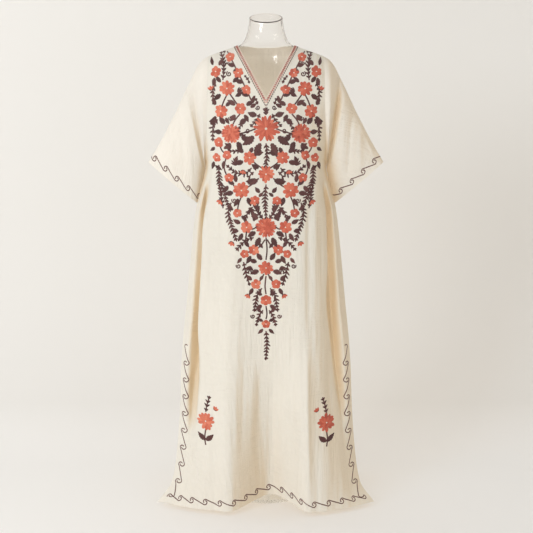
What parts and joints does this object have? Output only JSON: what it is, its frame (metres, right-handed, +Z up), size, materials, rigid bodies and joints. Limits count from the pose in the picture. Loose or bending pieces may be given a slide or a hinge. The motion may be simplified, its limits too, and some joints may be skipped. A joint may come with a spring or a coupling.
{
  "type": "kaftan on a clear dress form",
  "caption": "Full-length cream gauze kaftan with V neck, wide half sleeves and open side slits, worn by a clear limbless dress form on a pole and a round glass base.",
  "frame": {"origin": "middle of the round base's underside, on the floor", "axes": "+Z up, -Y out of the garment's front, +X to the right as seen from the front"},
  "size_m": [0.704, 0.4467, 1.4691],
  "materials": {
    "front_gauze": "matt crinkled cotton gauze",
    "back_gauze": "matt crinkled cotton gauze",
    "left_sleeve_gauze": "matt crinkled cotton gauze",
    "right_sleeve_gauze": "matt crinkled cotton gauze",
    "neck_braid": "matt braided cotton tape",
    "clear_shell": "polished clear plastic",
    "clear_plate": "polished clear plastic",
    "brushed_steel": "brushed",
    "base_glass": "polished toughened glass"
  },
  "bodies": {
    "root": {"front_panel": "front_gauze", "back_panel": "back_gauze", "sleeve_left": "left_sleeve_gauze", "sleeve_right": "right_sleeve_gauze", "neck_trim": "neck_braid", "form_torso": "clear_shell", "form_bottom_plate": "clear_plate", "form_pole": "brushed_steel", "form_base": "base_glass"}
  },
  "joints": []
}
